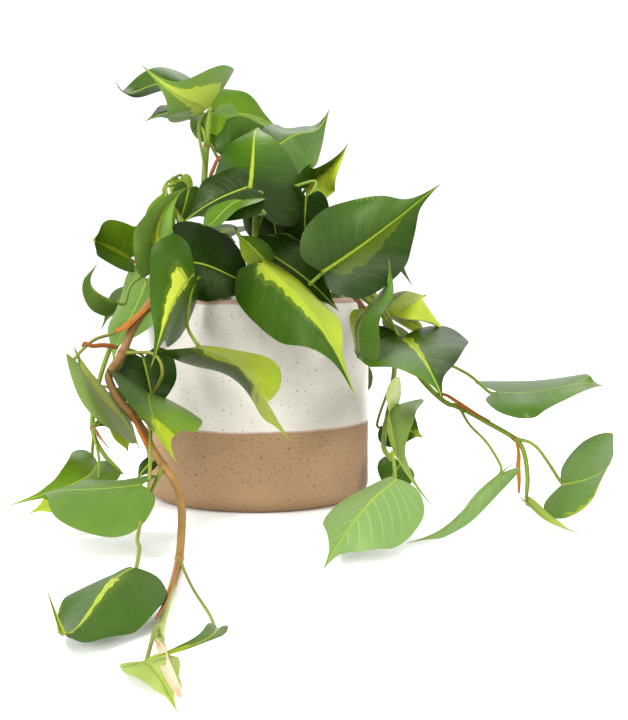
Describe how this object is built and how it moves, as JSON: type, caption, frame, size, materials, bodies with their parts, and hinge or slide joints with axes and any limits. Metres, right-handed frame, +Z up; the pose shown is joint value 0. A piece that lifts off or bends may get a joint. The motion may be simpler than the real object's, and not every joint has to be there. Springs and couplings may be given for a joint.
{
  "type": "potted heartleaf philodendron",
  "caption": "Trailing houseplant with heart-shaped two-tone leaves on draping stems, in a two-tone stoneware planter filled with potting soil.",
  "frame": {"origin": "middle of the pot's flat underside, on the surface that it stands on", "axes": "+Z up along the pot's axis, +X to the viewer's right, +Y away from the viewer"},
  "size_m": [0.3733, 0.5805, 0.288],
  "materials": {
    "stoneware": "speckled warm white satin glaze above a bare speckled tan clay foot",
    "soil": "dark crumbly potting soil",
    "foliage": "glossy green leaves with lime variegation"
  },
  "bodies": {
    "root": {"pot": "stoneware", "potting_soil": "soil", "stem_upright": "foliage", "stem_centre": "foliage", "stem_front_right": "foliage", "stem_left_crown": "foliage", "vine_left_front": "foliage", "vine_left_second": "foliage", "vine_right": "foliage", "vine_right_low": "foliage", "stem_back_left": "foliage", "stem_back": "foliage", "stem_back_right": "foliage"}
  },
  "joints": []
}
